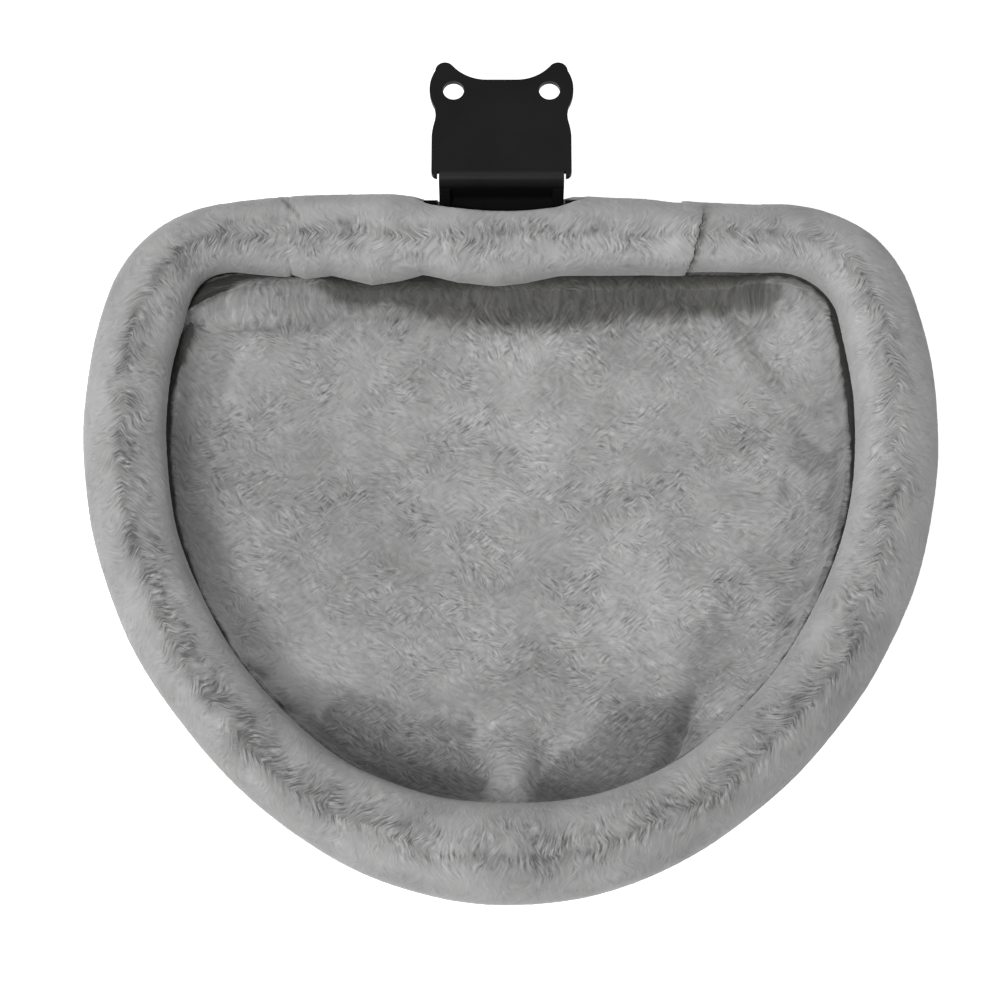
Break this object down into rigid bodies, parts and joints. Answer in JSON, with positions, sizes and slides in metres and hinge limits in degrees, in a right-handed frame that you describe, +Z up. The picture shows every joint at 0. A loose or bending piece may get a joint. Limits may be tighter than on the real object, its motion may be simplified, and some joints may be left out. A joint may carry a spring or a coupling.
{
  "type": "desk cat hammock",
  "caption": "D-shaped plush cat bed hung from a padded steel ring, held level in front of a desk by a black cat-head plate screwed to the desk top.",
  "frame": {"origin": "midway between the two ear holes, on the underside of the mounting plate, which is the level of the desk top", "axes": "+X along the desk edge to the right as seen by someone facing the desk, +Y in over the desk, +Z up"},
  "size_m": [0.4166, 0.4257, 0.101],
  "materials": {
    "black_steel": "black satin powder coat",
    "tube_steel": "black powder coat, hidden",
    "zinc": "bright zinc",
    "foam": "grey closed-cell foam",
    "plush": "grey short-pile plush",
    "tape": "dark grey hook and loop tape",
    "wadding": "white polyester wadding",
    "lining": "grey woven polyester",
    "binding": "grey woven edge tape"
  },
  "bodies": {
    "root": {"mounting_plate": "black_steel", "gusset_left": "black_steel", "gusset_right": "black_steel", "back_rail": "tube_steel", "front_hoop": "tube_steel", "joint_spigot_left": "tube_steel", "joint_spigot_right": "tube_steel", "joint_screws": "zinc", "rail_screws": "zinc", "rail_nuts": "zinc", "foam_back_left": "foam", "foam_back_right": "foam", "foam_left": "foam", "foam_right": "foam", "foam_front": "foam", "rim_sleeve": "plush", "back_flap": "plush", "hook_tape": "tape", "loop_tape": "tape", "bed_top": "plush", "bed_wadding": "wadding", "bed_lining": "lining", "seam_binding": "binding"}
  },
  "joints": []
}
